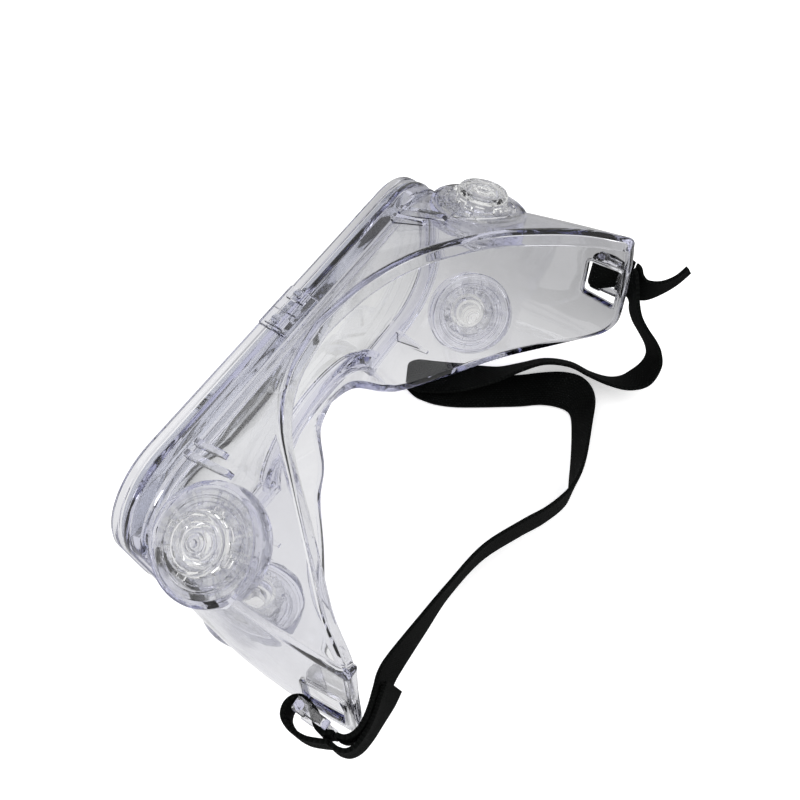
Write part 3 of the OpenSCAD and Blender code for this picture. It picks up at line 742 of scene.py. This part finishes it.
def vent_lid(tag):
    """Turning cap with snap lugs and air slots between them."""
    cap = lathe("vent_lid_" + tag, CAP, 96)
    turns = [spin(360 / LUGS * k) for k in range(LUGS)]
    lugs = [place(block("lug", (7.9, -1.2, 2.4), (9.9, 1.2, 3.6), 0.25), turn) for turn in turns]
    merge(cap, lugs, "UNION")
    turns = [spin(360 / SLOTS * (k + 0.5)) for k in range(SLOTS)]
    slots = [place(block("slot", (6.6, -1.5, 0.8), (10.6, 1.5, 3.4), 0.3), turn) for turn in turns]
    merge(cap, slots, "DIFFERENCE")
    shade(cap)
    return cap


for side, sname in ((1, "left"), (-1, "right")):
    for top, tname in ((True, "top"), (False, "low")):
        m = vent_matrix(side, top)
        tag = f"{tname}_{sname}"
        seat = place(lathe("vent_flange_" + tag, SEAT, 96), m)
        finish_piece(seat, frost, "vent_plastic", "mask", "vent_seat_" + tag)
        ring = place(vent_ring(tag), m @ Matrix.Translation((0, 0, (-PAD_H - RING_H) * MM)))
        finish_piece(ring, frost, "vent_plastic", "mask", "vent_retainer_" + tag)
        finish_piece(place(vent_lid(tag), m), frost, "vent_plastic", "cap_" + tag, "vent_cap_" + tag)

# ---------------------------------------------------------------- strap clips
RAIL_H = 1.6


def upright_bar(name, r, ease, steps, y, side):
    """Round bar as tall as a clip, with eased ends."""
    low, high = 0.05, BUCKLE_H - 0.05
    profile = [(0, low), (r - ease, low), (r, low + ease), (r, high - ease), (r - ease, high), (0, high)]
    foot = Matrix.Translation((side * BUCKLE_X * MM, y * MM, BUCKLE_Z * MM))
    return place(lathe(name, profile, steps), foot)


def strap_clip(side, sname):
    """Clear clip: two rails with cheeks at their front ends, joined by a front and a rear bar."""
    x, front, parts = side * BUCKLE_X, BAR_Y - 1.3, []
    for z in (BUCKLE_Z, BUCKLE_Z + BUCKLE_H - RAIL_H):
        parts.append(block("rail", (x - 1.2, front, z), (x + 1.2, HINGE_Y + 1, z + RAIL_H), 0.4))
        low, high = z + 0.01, z + RAIL_H - 0.01
        parts.append(block("cheek", (x - 1.8, front, low), (x + 1.8, BAR_Y + 2.7, high), 0.4))
    parts.append(upright_bar("rear_bar", 0.9, 0.15, 24, HINGE_Y, side))
    body = upright_bar("strap_clip_" + sname, 1.2, 0.2, 32, BAR_Y, side)
    merge(body, parts, "UNION")
    shade(body)
    return body


for side, sname in ((1, "left"), (-1, "right")):
    finish_piece(strap_clip(side, sname), clip, "clip_plastic", "clip_" + sname, "buckle_" + sname)

# ---------------------------------------------------------------- floor and light
floor = bpy.data.objects.new("floor", bpy.data.meshes.new("floor"))
floor.data.from_pydata([(-3, -3, 0), (3, -3, 0), (3, 3, 0), (-3, 3, 0)], [], [(0, 1, 2, 3)])
bpy.context.scene.collection.objects.link(floor)
paper = Nodes("paper")
sheet = paper.add("ShaderNodeBsdfPrincipled")
sheet.inputs["Base Color"].default_value = (0.93, 0.93, 0.93, 1)
sheet.inputs["Roughness"].default_value = 0.9
sheet.inputs["Emission Color"].default_value = (1, 1, 1, 1)
sheet.inputs["Emission Strength"].default_value = 0.45
# painted shade: behind the clear plastic (every ray but the camera's) the floor glows a soft pale grey, a
# little darker on the wearer's right, painted in place of the table's shade
place_on = paper.add("ShaderNodeTexCoord")
parts_of = paper.add("ShaderNodeSeparateXYZ")
paper.link(place_on.outputs["Object"], parts_of.inputs[0])
painted_shade_glow = paper.add("ShaderNodeEmission")
# painted shade: the glow falls from 0.88 to 0.52 towards the wearer's right
paper.link(paper.span(parts_of.outputs[0], 0.52, 0.88, -0.115, -0.03), painted_shade_glow.inputs["Strength"])
direct, pick = paper.add("ShaderNodeLightPath"), paper.add("ShaderNodeMixShader")
paper.link(direct.outputs["Is Camera Ray"], pick.inputs[0])
paper.link(painted_shade_glow.outputs[0], pick.inputs[1])
paper.link(sheet.outputs[0], pick.inputs[2])
paper.link(pick.outputs[0], paper.out.inputs["Surface"])
floor.data.materials.append(paper.mat)

world = bpy.data.worlds.new("studio")
bpy.context.scene.world = world
world.use_nodes = True
world.node_tree.nodes["Background"].inputs["Color"].default_value = (1, 1, 1, 1)
world.node_tree.nodes["Background"].inputs["Strength"].default_value = 0.9


def area(name, place_at, look_at, size, power):
    """Soft lamp that points at a place on the object."""
    light = bpy.data.objects.new(name, bpy.data.lights.new(name, "AREA"))
    light.data.shape = "RECTANGLE"
    light.data.size, light.data.size_y = size
    light.data.energy = power
    light.location = place_at
    light.rotation_euler = (Vector(look_at) - Vector(place_at)).to_track_quat("-Z", "Y").to_euler()
    bpy.context.scene.collection.objects.link(light)


area("soft_top", (0.1, -0.3, 1.3), (0, 0, 0), (1.0, 0.7), 3)
area("soft_left", (1.1, 0.5, 0.8), (0, 0, 0.03), (0.5, 0.9), 2)
area("soft_right", (-1.2, 0.3, 0.9), (0, 0, 0.03), (0.5, 0.9), 1.5)

scene = bpy.context.scene
scene.view_settings.view_transform = "Standard"
scene.view_settings.exposure = 0.0
scene.cycles.max_bounces = 24
scene.cycles.transmission_bounces = 20
scene.cycles.transparent_max_bounces = 24
scene.cycles.glossy_bounces = 8
scene.cycles.use_denoising = True
